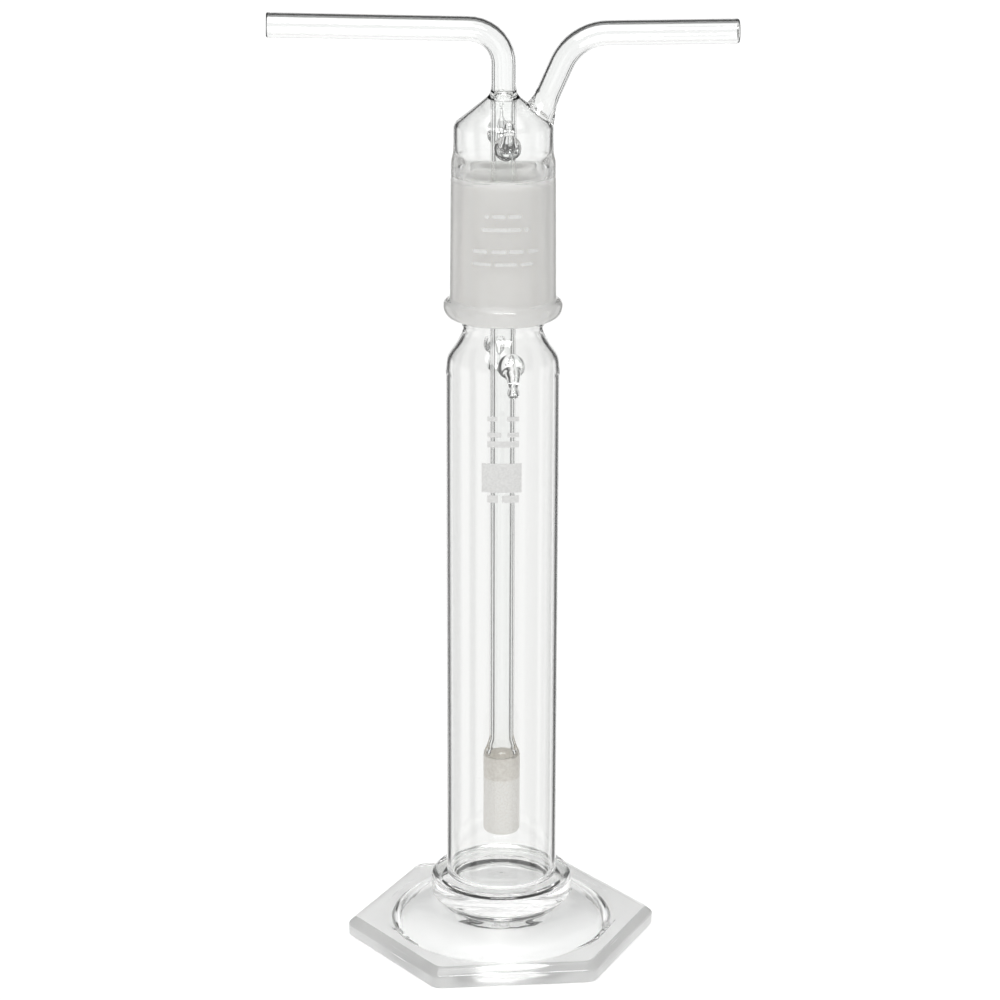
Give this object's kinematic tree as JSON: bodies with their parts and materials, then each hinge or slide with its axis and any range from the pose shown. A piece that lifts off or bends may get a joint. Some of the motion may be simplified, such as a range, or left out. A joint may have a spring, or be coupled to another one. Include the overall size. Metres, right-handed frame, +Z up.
{
  "type": "gas washing bottle",
  "caption": "Tall clear glass gas washing bottle on a hexagonal foot, with a lift-out head, two hose arms and a fritted dip tube.",
  "frame": {"origin": "on the bottle's axis, in the plane of the foot's underside", "axes": "+Z up along the bottle's axis, -X towards the inlet arm's hose end, +X towards the outlet arm's hose end"},
  "size_m": [0.1473, 0.0922, 0.3084],
  "materials": {
    "clear_glass": "clear fire-polished borosilicate glass",
    "ground_glass": "finely ground, translucent",
    "sealed_frit": "half-melted porous glass, warm grey, semi-gloss",
    "porous_glass": "sintered glass, white, matt, fine grain"
  },
  "bodies": {
    "bottle": {"hex_foot": "clear_glass", "foot_collar": "clear_glass", "body_tube": "clear_glass", "neck_shoulder": "clear_glass", "inner_joint": "ground_glass", "bottle_hook_front": "clear_glass", "bottle_hook_back": "clear_glass"},
    "head": {"outer_joint": "ground_glass", "joint_rim": "clear_glass", "head_dome": "clear_glass", "ring_seal": "clear_glass", "inlet_arm": "clear_glass", "outlet_root": "clear_glass", "outlet_arm": "clear_glass", "dip_tube": "clear_glass", "frit_bell": "clear_glass", "frit_seal": "sealed_frit", "frit_cylinder": "porous_glass", "head_hook_front": "clear_glass", "head_hook_back": "clear_glass"}
  },
  "joints": [
    {"name": "head_lift", "type": "slide", "parent": "bottle", "child": "head", "axis": [0, 0, 1], "range_m": [0, 0.24]}
  ]
}
